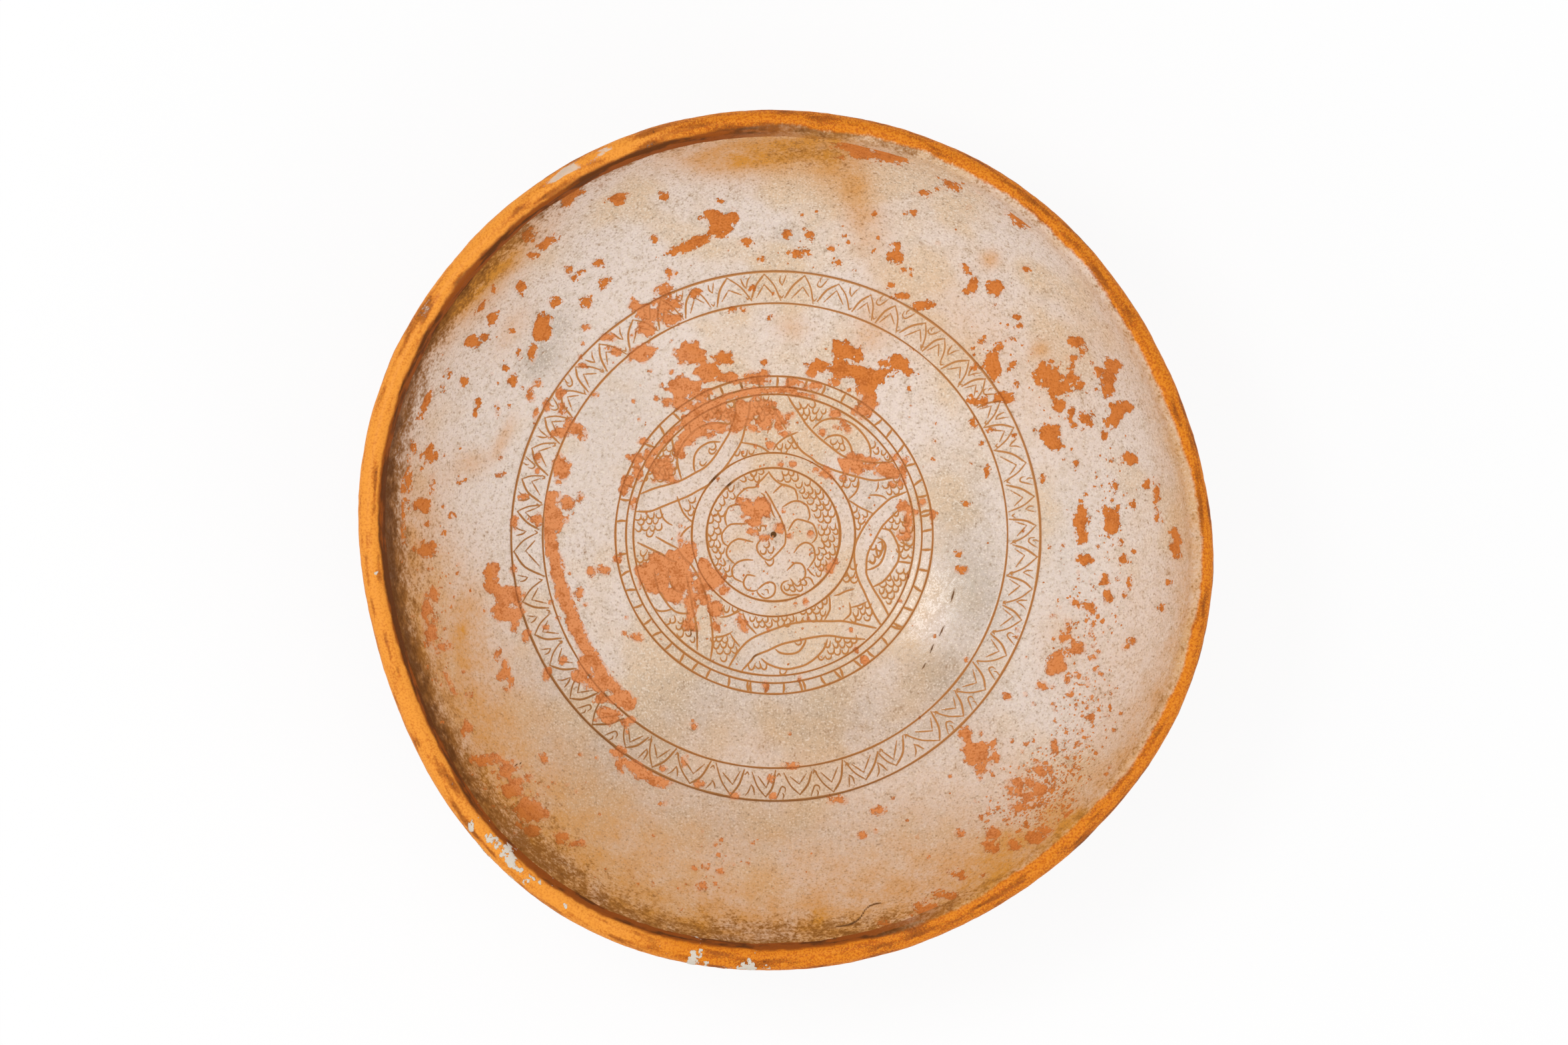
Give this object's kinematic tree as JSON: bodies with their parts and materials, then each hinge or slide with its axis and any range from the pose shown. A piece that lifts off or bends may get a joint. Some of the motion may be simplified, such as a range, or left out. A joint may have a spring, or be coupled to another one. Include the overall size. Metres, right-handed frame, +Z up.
{
  "type": "terracotta bowl",
  "caption": "Wide terracotta bowl on a foot ring, lined with white slip that is incised with a knot medallion and a zigzag band, with an amber rim.",
  "frame": {"origin": "on the wheel axis, in the plane on which the foot ring rests", "axes": "+Z up the wheel axis, out of the mouth; +X to the picture's right, +Y to its top"},
  "size_m": [0.2493, 0.2508, 0.08],
  "materials": {
    "fired_clay": "matte",
    "amber_glaze": "satin",
    "glazed_slip": "satin"
  },
  "bodies": {
    "root": {"bowl_body": "fired_clay", "foot_ring": "fired_clay", "rim_coat": "amber_glaze", "slip_roundel": "glazed_slip", "slip_ring_band": "glazed_slip", "slip_knot_field": "glazed_slip", "slip_border_fillet": "glazed_slip", "slip_dash_border": "glazed_slip", "slip_plain_zone": "glazed_slip", "slip_zigzag_band": "glazed_slip", "slip_wall": "glazed_slip"}
  },
  "joints": []
}
